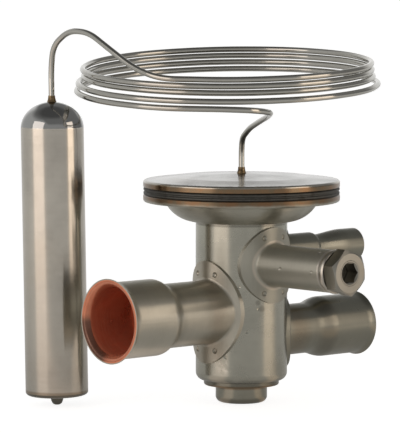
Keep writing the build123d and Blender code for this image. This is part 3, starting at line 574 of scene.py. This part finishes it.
# ---- stage ---------------------------------------------------------------------------------------
def across():
    """Level direction to the camera's right."""
    return Vector((math.cos(VIEW_AZIMUTH), math.sin(VIEW_AZIMUTH), 0))


def toward():
    """Level direction from the valve to the camera."""
    return Vector((math.sin(VIEW_AZIMUTH), -math.cos(VIEW_AZIMUTH), 0))


def aim(obj, target):
    obj.rotation_euler = (Vector(target) - obj.location).to_track_quat("-Z", "Y").to_euler()


def make_camera():
    data = bpy.data.cameras.new("camera")
    camera = add_object("camera", data)
    target = -AXIS_OFFSET * across() + Vector((0, 0, AIM_HEIGHT))
    camera.location = toward() * CAMERA_DISTANCE + Vector((0, 0, CAMERA_HEIGHT))
    aim(camera, target)
    reach = (camera.location - target).length
    data.sensor_width = SENSOR
    data.lens = SENSOR * reach / (PIXELS_HIGH * PIXEL_SIZE)
    data.clip_start = 0.01
    bpy.context.scene.camera = camera


def level_ring(t, direction, levels):
    """Colour of the surroundings in a direction's azimuth, counted from the camera's side."""
    right = t.vector("DOT_PRODUCT", direction, across())["Value"]
    front = t.vector("DOT_PRODUCT", direction, toward())["Value"]
    turn = t.ramp(t.math("ARCTAN2", right, front), -math.pi, math.pi, smooth=False)
    ring = t.node("ShaderNodeValToRGB", {"Fac": turn})
    stops = ring.color_ramp.elements
    for degrees, level, color in levels:
        if degrees == -180:
            stop = stops[0]
        elif degrees == 180:
            stop = stops[-1]
        else:
            stop = stops.new((degrees + 180) / 360)
        stop.color = (*(level * c for c in color), 1)
    return ring.outputs["Color"]


def make_floor():
    """Pale floor that keeps the object's shadow.

    The camera sees it white, and the metal reflects it by level_ring, brighter further out: painted pools of
    light in front of the softboxes, and a painted shadow where it is darker near the valve.
    """
    corners = [(-1, -1), (1, -1), (1, 1), (-1, 1)]
    mesh = bpy.data.meshes.new("floor")
    mesh.from_pydata([(x * FLOOR_HALF, y * FLOOR_HALF, 0) for x, y in corners], [], [(0, 1, 2, 3)])
    floor = add_object("floor", mesh)
    m = Material("floor")
    far = m.vector("LENGTH", m.point)["Value"]
    mirrored = m.ramp(far, FLOOR_NEAR[0], FLOOR_FAR[0], FLOOR_NEAR[1], FLOOR_FAR[1], smooth=False)
    rays = m.node("ShaderNodeLightPath").outputs
    strength = m.math("MULTIPLY", rays["Is Camera Ray"], FLOOR_SEEN)
    for ray in ("Is Glossy Ray", "Is Transmission Ray"):
        strength = m.math("ADD", strength, m.math("MULTIPLY", rays[ray], mirrored))
    m.feed(m.shader, {
        "Base Color": FLOOR_COLOUR,
        "Roughness": 0.9,
        "Emission Color": m.mix(rays["Is Camera Ray"], level_ring(m, m.point, FLOOR_RING), PLAIN),
        "Emission Strength": strength,
    })
    mesh.materials.append(m.material)


def softbox(name, azimuth, elevation, distance, width, height, radiance, color):
    """Area light that faces the object. Its azimuth is as in ROOM_RING, and angles are degrees."""
    azimuth, elevation = math.radians(azimuth), math.radians(elevation)
    data = bpy.data.lights.new(name, "AREA")
    data.shape = "RECTANGLE"
    data.size, data.size_y = width, height
    data.energy = radiance * math.pi * width * height
    data.color = color
    lamp = add_object(name, data)
    level = toward() * math.cos(azimuth) + across() * math.sin(azimuth)
    rise = Vector((0, 0, LAMP_AIM + math.sin(elevation) * distance))
    lamp.location = level * math.cos(elevation) * distance + rise
    aim(lamp, (0, 0, LAMP_AIM))


def make_world():
    """White to the camera. Metal reflects a white backdrop behind the object, a room and a ceiling.

    The room reaches higher on the camera's left.
    """
    world = bpy.data.worlds.new("world")
    bpy.context.scene.world = world
    world.use_nodes = True
    t = Tree(world.node_tree)
    direction = t.node("ShaderNodeTexCoord").outputs["Generated"]
    up = t.vector("DOT_PRODUCT", direction, (0, 0, 1))["Value"]
    left = t.vector("DOT_PRODUCT", direction, -across())["Value"]
    lowered = t.math("SUBTRACT", up, t.ramp(left, 0.15, 0.5, 0.0, 0.3))
    room = level_ring(t, direction, ROOM_RING)
    room = t.mix(t.ramp(lowered, 0.25, 0.48), room, times(PLAIN, UPPER_LEVEL))
    room = t.mix(t.ramp(up, 0.72, 0.92), room, times(PLAIN, CEILING_LEVEL))
    camera_ray = t.node("ShaderNodeLightPath").outputs["Is Camera Ray"]
    t.feed(t.tree.nodes["Background"], {"Color": t.mix(camera_ray, room, PLAIN), "Strength": 1.0})


make_outlet_copper()
make_nut()
make_camera()
make_floor()
softbox("left", -53, 15, 0.8, 0.60, 0.50, 1.4, LEFT_WARM)
softbox("right", 70, 16, 0.34, 0.17, 0.21, 1.7, RIGHT_WARM)
make_world()

scene = bpy.context.scene
scene.view_settings.view_transform = "Standard"
